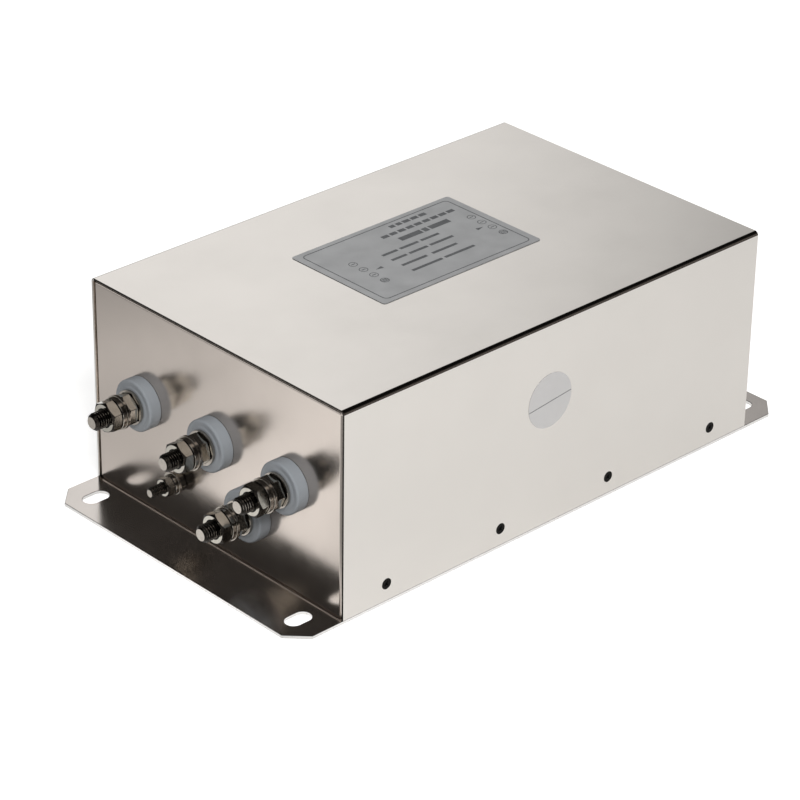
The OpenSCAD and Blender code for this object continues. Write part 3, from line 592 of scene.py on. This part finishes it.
def on_terminals(name, master, height, turns=None):
    """The same piece on all four terminals of both ends, one object for each end. Turns gives the
    angles of an end's four copies."""
    for end in ENDS:
        around = (turns or {}).get(end, (0, 0, 0, 0))
        copies = [put(master, on_panel(end, place, height, turn))
                  for place, turn in zip(TERMINALS.values(), around)]
        joined = stand_for(gather(f"{end}_{name}_set", copies), f"{end}_{name}")
        # the nuts' chamfers and countersinks get painted shade
        if name.endswith("nuts"):
            refinish(joined, PAINTED_SHADE_METAL, slanted)
    bpy.data.objects.remove(master)
    print(name, "on both ends")


def on_earth_stud(name, master, height=0.0, turn=0.0):
    """A piece at the earth stud's place."""
    piece = put(master, on_panel("line", EARTH, height, turn))
    bpy.data.objects.remove(master)
    piece.name = piece.data.name = name + "_piece"
    return stand_for(piece, name)


on_terminals("seat_washers", washer(**SEAT_WASHER), SEAT_AT)
on_terminals("flat_washers", washer(**FLAT_WASHER), FLAT_AT)
on_terminals("spring_washers", spring_washer(**SPRING_WASHER), SPRING_AT,
             {"line": SLITS, "load": SLITS})
on_earth_stud("earth_washer", washer(**EARTH_WASHER), EARTH_WASHER_AT)
on_earth_stud("earth_spring_washer", spring_washer(**EARTH_SPRING), EARTH_SPRING_AT, turn=120)

# %% [markdown]
# ## Nuts
#
# A nut is a hexagon whose corners are turned off by a 30 degree cone on both faces, which leaves
# the curved bright arcs that the eye knows. A six-sided cylinder is kept where it meets a double
# cone, then bored and countersunk; a bevel would leave straight chamfers instead of arcs. Each nut
# is turned as its spanner left it, so the facets of no two nuts catch the same light.

# %% Nuts
from math import cos

CONE = 0.57735                          # the tangent of 30 degrees
FACE = 0.475                            # radius of a nut's flat face, as a share of its flats
TERMINAL_NUT = {"flats": 13.0, "height": 5.2, "bore": 3.6, "sink": 0.9}
EARTH_NUT = {"flats": 8.0, "height": 3.9, "bore": 2.24, "sink": 0.5}
CLAMP_TURNS = {"line": (52, 15, 32, 22), "load": (22, 3, 36, 15)}
OUTER_TURNS = {"line": (54, 57, 28, 56), "load": (50, 28, 9, 33)}


def hex_nut(flats, height, bore, sink):
    """A nut on the origin. Bore is a radius; sink is how much wider its mouth is."""
    corner = flats / 2 / cos(pi / 6)
    face, rim, mouth = FACE * flats, corner + 1, bore + sink + 1
    slope = (rim - face) * CONE
    let_go()
    OPS.primitive_cylinder_add(vertices=6, radius=corner * MM, depth=(height + 2) * MM,
                               location=(0, 0, height / 2 * MM), rotation=(0, 0, radians(-30)))
    nut = bpy.context.object
    cones = [(face, 0), (rim, slope), (rim, height - slope), (face, height)]
    cut(nut, lathe(cones, steps=96, closed=False), "INTERSECT")
    drill = [(mouth, -1), (bore, sink), (bore, height - sink), (mouth, height + 1)]
    cut(nut, lathe(drill, steps=48, closed=False))
    modify(nut, "BEVEL", width=0.14 * MM, segments=2, limit_method="ANGLE",
           angle_limit=radians(42))
    return done(nut, "nut", smooth=28)


on_terminals("clamp_nuts", hex_nut(**TERMINAL_NUT), CLAMP_AT, CLAMP_TURNS)
on_terminals("terminal_nuts", hex_nut(**TERMINAL_NUT), OUTER_AT, OUTER_TURNS)

small_nut = hex_nut(**EARTH_NUT)
pair = [put(small_nut, on_panel("line", EARTH, height, turn))
        for height, turn in ((0, 25), (6.0, 50))]
print("earth nut:", len(small_nut.data.polygons), "faces")
bpy.data.objects.remove(small_nut)
# the earth nuts' chamfers and countersinks get painted shade
refinish(stand_for(gather("earth_nuts_set", pair), "earth_nuts"), PAINTED_SHADE_METAL, slanted)

# %% [markdown]
# ## A thread
#
# The free end of each stud shows its thread. Bump could fake the lines but not the toothed outline
# against the panel, so it is a real one: a single tooth of the section is drawn with extruded
# points and swept by the Screw modifier, one pitch up for every turn. What it shares with a
# bevelled rod is kept, so the thread runs out at the tip as a cut rod's does.

# %% Threaded end
THREAD_DEPTH = 0.6134                   # of a pitch


def threaded_end(radius, pitch, bottom, tip, bevel):
    """A threaded length from bottom to tip, with a 45 degree bevel at the tip."""
    root = radius - THREAD_DEPTH * pitch
    crest, valley = pitch / 8, pitch / 4
    flank = (pitch - crest - valley) / 2
    let_go()
    OPS.primitive_plane_add(size=MM, location=(root * MM, 0, (bottom - pitch) * MM))
    rod = bpy.context.object
    bpy.ops.object.transform_apply(location=True)
    edit(rod)
    OPS.merge(type="CENTER")
    for out, up in ((radius - root, flank), (0, crest), (root - radius, flank), (0, valley)):
        OPS.extrude_vertices_move(TRANSFORM_OT_translate={"value": (out * MM, 0, up * MM)})
    turns = int((tip - bottom) / pitch) + 3
    modify(rod, "SCREW", screw_offset=pitch * MM, iterations=turns, steps=36, render_steps=36,
           use_merge_vertices=True)
    edit(rod)
    OPS.remove_doubles(threshold=0.000001)
    OPS.fill_holes(sides=0)
    OPS.select_all(action="SELECT")
    OPS.normals_make_consistent(inside=False)
    wide = radius + 0.3
    envelope = [(wide, bottom), (wide, tip - bevel - 0.3), (radius - bevel, tip)]
    cut(rod, lathe(envelope, closed=False), "INTERSECT")
    return rod


print("a thread is", THREAD_DEPTH, "of its pitch deep")

# %% [markdown]
# ## Studs
#
# Only the outer end of a stud is seen beyond its nuts, so only that end has a thread, and a plain
# shank as thick as the thread's core runs on through the nuts and into the box. Each copy is turned
# a little further than the last, because no two threads start at the same place.

# %% Studs
CORE_R, BACK, SHANK_TO = 3.594, -16.4, 19.0     # the shank, from inside the box to its thread
SHANK = [(CORE_R - 0.5, BACK), (CORE_R, BACK + 0.5), (CORE_R, SHANK_TO)]
THREAD = {"radius": 4.0, "pitch": 1.25, "bottom": 18.5, "tip": 28.7, "bevel": 1.3}
EARTH_SHANK = [(4.5, -2.5), (4.5, -1.2), (2.5, -1.2), (2.5, 0.0), (2.24, 0.0), (2.24, 8.2)]
EARTH_THREAD = {"radius": 2.5, "pitch": 0.8, "bottom": 8.0, "tip": 17.2, "bevel": 0.8}
TURN_STEP = 47                                  # degrees from one stud's thread to the next


def stud(shank, **thread):
    """A shank, closed at both ends, joined to its threaded end."""
    parts = [lathe(shank, steps=48, closed=False), threaded_end(**thread)]
    return done(gather("stud", parts), "stud", smooth=30)


master = stud(SHANK, **THREAD)
# each stud's thread flanks and bevelled tip get painted shade
for number, (end, phase) in enumerate((end, phase) for end in ENDS for phase in TERMINALS):
    piece = put(master, on_panel(end, TERMINALS[phase], turn=TURN_STEP * number))
    piece.name = piece.data.name = f"{end}_threaded_stud_{phase}"
    refinish(stand_for(piece, f"{end}_stud_{phase}"), PAINTED_SHADE_METAL, slanted)
print("stud:", len(master.data.polygons), "faces")
bpy.data.objects.remove(master)

# and so do the earth stud's
refinish(on_earth_stud("earth_stud", stud(EARTH_SHANK, **EARTH_THREAD)), PAINTED_SHADE_METAL, slanted)

# %% [markdown]
# ## The nameplate's foil
#
# The nameplate is a thin aluminium foil with rounded corners, stuck on the cover. It is drawn as a
# flat face whose corners are rounded, then given its thickness, less the film of ink that goes on
# top, and a hair of a bevel where the punch pressed its edge down.

# %% Nameplate foil
PLATE_X0, PLATE_Y1 = -48.5, 37.6        # its line end and its far edge
PLATE_L, PLATE_W = 95, 60               # along the box and across it
PLATE_TOP, PLATE_T, FILM = 100.8, 0.3, 0.02     # the print's height, the foil's and the ink's


def bar(x0, x1, y0, y1, height):
    """A flat rectangle, sizes in millimetres."""
    let_go()
    OPS.primitive_plane_add(size=1, location=((x0 + x1) / 2 * MM, (y0 + y1) / 2 * MM, height * MM))
    bpy.context.object.scale = ((x1 - x0) * MM, (y1 - y0) * MM, 1)
    bpy.ops.object.transform_apply(location=True, scale=True)
    return bpy.context.object


def round_corners(flat, radius):
    """Rounds the corners of a flat face."""
    edit(flat)
    OPS.bevel(offset=radius * MM, segments=6, affect="VERTICES")
    let_go()
    return flat


def thicken(piece, height, up):
    """Gives flat faces a thickness."""
    edit(piece)
    OPS.extrude_region_move(TRANSFORM_OT_translate={"value": tuple(v * height * MM for v in up)})
    let_go()


plate = bar(PLATE_X0, PLATE_X0 + PLATE_L, PLATE_Y1 - PLATE_W, PLATE_Y1, PLATE_TOP - PLATE_T)
round_corners(plate, 1.5)
thicken(plate, PLATE_T - FILM, (0, 0, 1))
modify(plate, "BEVEL", width=0.06 * MM, segments=2, limit_method="ANGLE", angle_limit=radians(50))
stand_for(done(plate, "nameplate_foil_sheet"), "nameplate")
print("foil:", len(plate.data.polygons), "faces")

# %% [markdown]
# ## The print on the nameplate
#
# The foil is printed in dark grey: a border line, a row of terminals at each end with an arrow
# beside it, and lines of small print. The print here is plain bars, and means nothing. Each mark is
# a flat face, and all of them together are given the thickness of a film of ink. An image would be
# quicker, but geometry stays sharp at any distance.

# %% Marks
def mark_bar(u0, u1, v0, v1):
    """A printed bar: u runs along the plate from its line end, v down it from its far edge."""
    return bar(PLATE_X0 + u0, PLATE_X0 + u1, PLATE_Y1 - v1, PLATE_Y1 - v0, PLATE_TOP - FILM)


def mark_disc(u, v, radius, corners, way=0):
    """A printed disc or, with three corners and a way, an arrowhead along the plate."""
    let_go()
    spot = ((PLATE_X0 + u) * MM, (PLATE_Y1 - v) * MM, (PLATE_TOP - FILM) * MM)
    OPS.primitive_circle_add(vertices=corners, radius=radius * MM, fill_type="NGON", location=spot,
                             rotation=(0, 0, radians(-90 * way)))
    if way:
        bpy.context.object.scale = (0.6, 1.3, 1)
    bpy.ops.object.transform_apply(location=True, rotation=True, scale=True)
    return bpy.context.object


def frame_line(flat, width):
    """Leaves only a line of the given width along a flat face's edge."""
    edit(flat)
    OPS.inset(thickness=width * MM)
    OPS.delete(type="FACE")
    let_go()
    return flat


print("marks lie", PLATE_TOP - FILM, "mm above the floor")

# %% The print
RING_U, RING_V = (15.7, 87.7), (23.1, 29.8, 36.5, 43.4)     # two rows of four terminals
*PHASES_V, EARTH_V = RING_V
# each line of print: how far down, how tall, where it starts, and its words' lengths (0 is a gap)
ROWS = (
    (6.5, 2.4, 53, (3, 3, 4, 4, 4)),
    (12.2, 2.4, 43, (4, 4, 4, 4, 4, 4, 4, 4, 4)),
    (18.6, 3.4, 48, (13, 3, 12)),
    (25.4, 1.7, 31, (9, 11, 11)),
    (31.4, 1.7, 31, (9, 11, 14)),
    (38.0, 1.7, 31, (15, 0, 15)),
    (44.6, 1.7, 31, (18, 18)),
)

marks = [frame_line(round_corners(mark_bar(3.4, 91.6, 2.6, 57.4), 2.6), 0.5)]
for u in RING_U:
    marks += [frame_line(mark_disc(u, v, 2.1, 32), 0.35) for v in RING_V]
    marks += [mark_bar(u - 1.1, u + 1.1, v - 0.25, v + 0.25) for v in PHASES_V]
    marks += [mark_bar(u - 1.6, u + 1.6, EARTH_V + d - 0.22, EARTH_V + d + 0.22)
              for d in (-0.9, 0, 0.9)]
marks += [mark_disc(22.3, 33.4, 2.0, 3, way=-1), mark_disc(82.0, 33.8, 2.0, 3, way=1)]
for v, tall, left, words in ROWS:
    space = 1.0 if tall > 2 else 1.6
    for word in words:
        if word:
            marks.append(mark_bar(left, left + word, v - tall / 2, v + tall / 2))
        left += word + space
print("nameplate marks:", len(marks))
printed = gather("nameplate_print", marks)
thicken(printed, FILM, (0, 0, 1))
done(printed, "nameplate_print")
printed.data.materials.append(INK)
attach(printed, "root")

# %% [markdown]
# ## The round sticker
#
# A vinyl disc on one long side, with a line across it that isn't quite level. The disc stands on
# its edge, so the flat circle is turned upright before it gets its thickness.

# %% Sticker
STICKER_X, STICKER_Y, STICKER_Z, STICKER_R, STICKER_T = -5.7, -81.0, 62.5, 13.0, 0.13
LINE_Z, LINE_L, LINE_W, LINE_TILT = 61.9, 25.6, 0.35, -6.5
OUTWARDS = (0, -1, 0)

let_go()
OPS.primitive_circle_add(vertices=96, radius=STICKER_R * MM, fill_type="NGON",
                         location=(STICKER_X * MM, STICKER_Y * MM, STICKER_Z * MM),
                         rotation=(radians(90), 0, 0))
sticker = bpy.context.object
bpy.ops.object.transform_apply(location=True, rotation=True)
thicken(sticker, STICKER_T, OUTWARDS)
modify(sticker, "BEVEL", width=0.04 * MM, segments=2, limit_method="ANGLE",
       angle_limit=radians(50))
stand_for(done(sticker, "sticker_disc"), "inspection_sticker")

let_go()
OPS.primitive_plane_add(size=1, rotation=(radians(90), radians(LINE_TILT), 0),
                        location=(STICKER_X * MM, (STICKER_Y - STICKER_T) * MM, LINE_Z * MM))
line = bpy.context.object
line.scale = (LINE_L * MM, LINE_W * MM, 1)
bpy.ops.object.transform_apply(location=True, rotation=True, scale=True)
thicken(line, FILM, OUTWARDS)
done(line, "sticker_line")
line.data.materials.append(INK)
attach(line, "root")
print("sticker:", len(sticker.data.polygons), "faces, its line:", len(line.data.polygons))

# %% [markdown]
# ## Studio: the floor
#
# Bright metal has no colour of its own: it shows the room. So the room is built for the metal. The
# floor is a sheet of white paper. The camera sees it plain white, but the metal sees how brightly
# each part of it is lit, and that goes by places on the floor, so it holds from every side.

# %% Floor
FLOOR_SIZE, FLOOR_Z = 8, -0.0002        # metres; just under the plate, so the two don't fight

let_go()
OPS.primitive_plane_add(size=FLOOR_SIZE, location=(0, 0, FLOOR_Z))
floor = bpy.context.object
floor.name = "studio_floor"
print("floor:", FLOOR_SIZE, "m wide")

# %% [markdown]
# ## The light on the floor
#
# The end panel is a mirror that looks down at the floor, so the floor's light is painted as broad
# soft bands. Around the box lies a bright pool, which fades towards the far side, where the panel's
# upper left looks, and far behind the paper is bright again. A strip in front is dark, and two soft
# shades lie at the line end's corners. Light paths tell a camera's look from a mirror's: the camera
# sees plain paper, a mirror sees the bands as painted light and shade, and the light that bounces
# off the paper is painted darker by them too. Lamps could light such bands, but they would light
# the metal too.

# %% What the metal sees of the floor
ACROSS = (-0.3, 0.954, 0)               # over the floor, from the near long side to the far one
NEAR_SHADE, FAR_SHADE = (-0.26, -0.13, 0), (-0.16, 0.11, 0)
PAPER_GLOW = 0.7                        # what the camera sees, besides the lamp's light

paper, tree, place = start("white_paper_floor")
measured = {
    "across": add(tree, "ShaderNodeVectorMath", {0: place, 1: ACROSS},
                  operation="DOT_PRODUCT").outputs["Value"],
    "along": add(tree, "ShaderNodeSeparateXYZ", {0: place}).outputs["X"],
    "from_near_shade": add(tree, "ShaderNodeVectorMath", {0: place, 1: NEAR_SHADE},
                           operation="DISTANCE").outputs["Value"],
    "from_far_shade": add(tree, "ShaderNodeVectorMath", {0: place, 1: FAR_SHADE},
                          operation="DISTANCE").outputs["Value"],
}
# how a band joins the last, what it goes by, from and to in metres, brightness before and after
BANDS = (
    ("MULTIPLY", "across", 0.06, 0.42, 1.0, 0.22),            # the pool, fading to the far side
    ("MAXIMUM", "across", 0.48, 0.85, 0.0, 0.8),              # bright paper far behind
    ("MAXIMUM", "along", -0.14, -0.07, 0.0, 1.0),             # all that lies beside the box
    ("MULTIPLY", "across", -0.6, -0.33, 0.12, 1.0),           # the dark strip in front
    ("MULTIPLY", "from_near_shade", 0.08, 0.15, 0.3, 1.0),    # the shade at the near corner
    ("MULTIPLY", "from_far_shade", 0.02, 0.09, 0.7, 1.0),     # the shade at the far corner
)
level = 1.0
for joined, by, low, high, before, after in BANDS:
    band = add(tree, "ShaderNodeMapRange", {"Value": measured[by], "From Min": low,
                                            "From Max": high, "To Min": before, "To Max": after},
               interpolation_type="SMOOTHSTEP").outputs[0]
    level = add(tree, "ShaderNodeMath", {0: level, 1: band}, operation=joined).outputs[0]

rays = add(tree, "ShaderNodeLightPath").outputs
level = add(tree, "ShaderNodeMath", {0: level, 1: rays["Is Camera Ray"]},
            operation="MAXIMUM").outputs[0]
tint = add(tree, "ShaderNodeMix", {"Factor": level, "A": srgb("#000000"), "B": srgb("#F2F1EF")},
           data_type="RGBA").outputs["Result"]
mirrored = add(tree, "ShaderNodeMath", {0: rays["Is Glossy Ray"], 1: rays["Is Transmission Ray"]},
               operation="MAXIMUM").outputs[0]
strength = add(tree, "ShaderNodeMapRange", {"Value": measured["across"], "From Min": -0.11,
                                            "From Max": 0.05, "To Min": 0.29, "To Max": 0.46},
               interpolation_type="SMOOTHSTEP").outputs[0]
mirrored = add(tree, "ShaderNodeMath", {0: mirrored, 1: strength}, operation="MULTIPLY").outputs[0]
glow = add(tree, "ShaderNodeMath", {0: rays["Is Camera Ray"], 1: PAPER_GLOW, 2: mirrored},
           operation="MULTIPLY_ADD").outputs[0]
glow = add(tree, "ShaderNodeMath", {0: glow, 1: level}, operation="MULTIPLY").outputs[0]
end_with(paper, {"Base Color": tint, "Roughness": 0.9, "Emission Color": (1, 1, 1, 1),
                 "Emission Strength": glow})
floor.data.materials.append(paper)
print("bands of light on the floor:", len(BANDS))

# %% [markdown]
# ## Studio: the room
#
# A photographer of bright metal hangs white and black cards round it, and each fold, facet and
# chamfer then picks one of them up. Cards could be modelled and hung, but then they would throw
# shadows too. Here the room is the world: its brightness depends only on the direction in which a
# mirror looks, and each card is a soft-edged spot in one direction. Dull surfaces see an even grey
# room, so the cards touch the metal alone, and the camera itself sees white.

# %% World
ROOM = (
    # towards, then the inner and outer angle of its soft edge in degrees, and its brightness
    ((0.0, 0.20, 0.98), 12, 32, 0.7),           # ceiling light: the upper rounds and nut flats
    ((-0.90, 0.44, 0.05), 35, 75, 0.08),        # dark beyond the line end: faces of the nuts
    ((0.70, 0.30, 0.55), 16, 36, 0.06),         # dark far right: the load end of the top
    ((0.64, -0.20, 0.72), 20, 38, 0.015),       # black above the near side: the cover's long bend
    ((0.347, 0.860, 0.375), 16, 34, 1.0),       # white wall behind: most of the top
    ((-0.60, 0.20, 0.70), 24, 40, 0.03),        # dark over the line end: the panel's upper bend
    ((-0.60, 0.64, 0.48), 22, 40, 0.04),        # and further back: that bend's lower half
    ((-0.73, 0.68, 0.03), 5, 12, 0.9),          # a low bright spot: glints on threads and rims
    ((-0.10, 0.62, 0.77), 15, 25, 0.07),        # dark high behind: where that bend meets the top
    ((-0.55, -0.72, 0.42), 45, 65, 0.015),      # black round the camera: facets that face it
    ((-0.549, -0.225, 0.805), 6, 11, 0.9),      # a small high lamp: glints on corners and tips
    ((-0.95, -0.05, 0.33), 14, 28, 0.6),        # grey past the line end: the top, from load end
)
EVEN = 0.26                                     # brightness of the room for dull surfaces
WHITE, WARM = (1, 1, 1, 1), (1.0, 0.99, 0.98, 1)

world = bpy.data.worlds.new("studio_room")
bpy.context.scene.world = world
world.use_nodes = True
tree = world.node_tree
tree.nodes.clear()
direction = add(tree, "ShaderNodeTexCoord").outputs["Generated"]
height = add(tree, "ShaderNodeSeparateXYZ", {0: direction}).outputs["Z"]
level = add(tree, "ShaderNodeMapRange", {"Value": height, "From Min": 0.10, "From Max": 0.45,
                                         "To Min": 0.9, "To Max": 0.3},
            interpolation_type="SMOOTHSTEP").outputs[0]
for towards, inner, outer, brightness in ROOM:
    facing = add(tree, "ShaderNodeVectorMath", {0: direction, 1: Vector(towards).normalized()},
                 operation="DOT_PRODUCT").outputs["Value"]
    card = add(tree, "ShaderNodeMapRange", {"Value": facing, "From Min": cos(radians(outer)),
                                            "From Max": cos(radians(inner))},
               interpolation_type="SMOOTHSTEP").outputs[0]
    level = add(tree, "ShaderNodeMix", {"Factor": card, "A": level, "B": brightness},
                data_type="FLOAT").outputs[0]

room = add(tree, "ShaderNodeBackground", {"Color": WARM, "Strength": level}).outputs[0]
plain = add(tree, "ShaderNodeBackground", {"Color": WHITE, "Strength": 1.0}).outputs[0]
even = add(tree, "ShaderNodeBackground", {"Color": WHITE, "Strength": EVEN}).outputs[0]
rays = add(tree, "ShaderNodeLightPath").outputs
lit = add(tree, "ShaderNodeMixShader", {0: rays["Is Glossy Ray"], 1: even, 2: room}).outputs[0]
seen = add(tree, "ShaderNodeMath", {0: rays["Is Camera Ray"], 1: rays["Is Transmission Ray"]},
           operation="MAXIMUM").outputs[0]
whole = add(tree, "ShaderNodeMixShader", {0: seen, 1: lit, 2: plain}).outputs[0]
add(tree, "ShaderNodeOutputWorld", {"Surface": whole})
print("cards in the room:", len(ROOM))

# %% [markdown]
# ## Studio: the lamp
#
# One square soft lamp stands above the camera, a little to its right, and aims at the line end. It
# lights the insulators' faces and the nameplate, and softens the object's shadow on the paper. The
# metal doesn't see it, because a square lamp in a mirror looks like a square.

# %% Lamp
LAMP_PLACE, LAMP_AIM = (-0.68, -1.05, 1.2), (-0.1, 0, 0.05)     # metres
LAMP_SIZE, LAMP_POWER = 0.45, 19.0                              # metres, watts

let_go()
bpy.ops.object.light_add(type="AREA", location=LAMP_PLACE)
lamp = bpy.context.object
lamp.name = "soft_key"
lamp.data.shape, lamp.data.size, lamp.data.energy = "SQUARE", LAMP_SIZE, LAMP_POWER
aim = Vector(LAMP_AIM) - Vector(LAMP_PLACE)
lamp.rotation_euler = aim.to_track_quat("-Z", "Y").to_euler()
lamp.visible_camera = lamp.visible_glossy = False
print("lamp:", LAMP_POWER, "W from", round(aim.length, 2), "m")

# %% [markdown]
# ## Camera
#
# The portrait is taken from above the near corner with a long lens, so that the box's edges stay
# nearly parallel. The camera's place and its three angles were fitted to the edges of the box. Its
# three axes are built from the angles and set as a matrix, which is plainer than guessing at turns
# in order.

# %% Camera
from math import sin

AZIMUTH, ELEVATION, ROLL = radians(-43.649), radians(28.672), radians(0.893)
CAMERA_PLACE = (-0.9036, -0.9293, 0.7360)       # metres
LENS_MM, SENSOR_MM = 147.91, 36.0

back = Vector((sin(AZIMUTH) * cos(ELEVATION), -cos(AZIMUTH) * cos(ELEVATION), sin(ELEVATION)))
side = (-back).cross(Vector((0, 0, 1))).normalized()
up = side.cross(-back)
right = side * cos(ROLL) + up * sin(ROLL)
over = up * cos(ROLL) - side * sin(ROLL)
let_go()
bpy.ops.object.camera_add()
camera = bpy.context.object
camera.name = "portrait_camera"
axes = Matrix((right, over, back)).transposed().to_4x4()
camera.matrix_world = Matrix.Translation(CAMERA_PLACE) @ axes
camera.data.lens, camera.data.sensor_width = LENS_MM, SENSOR_MM
camera.data.clip_start, camera.data.clip_end = 0.05, 30.0
bpy.context.scene.camera = camera
bpy.context.scene.view_settings.view_transform = "Standard"
print("camera:", round(Vector(CAMERA_PLACE).length, 2), "m from the box, lens", LENS_MM, "mm")

# %% [markdown]
# ## Last look
#

# %% The end
import json
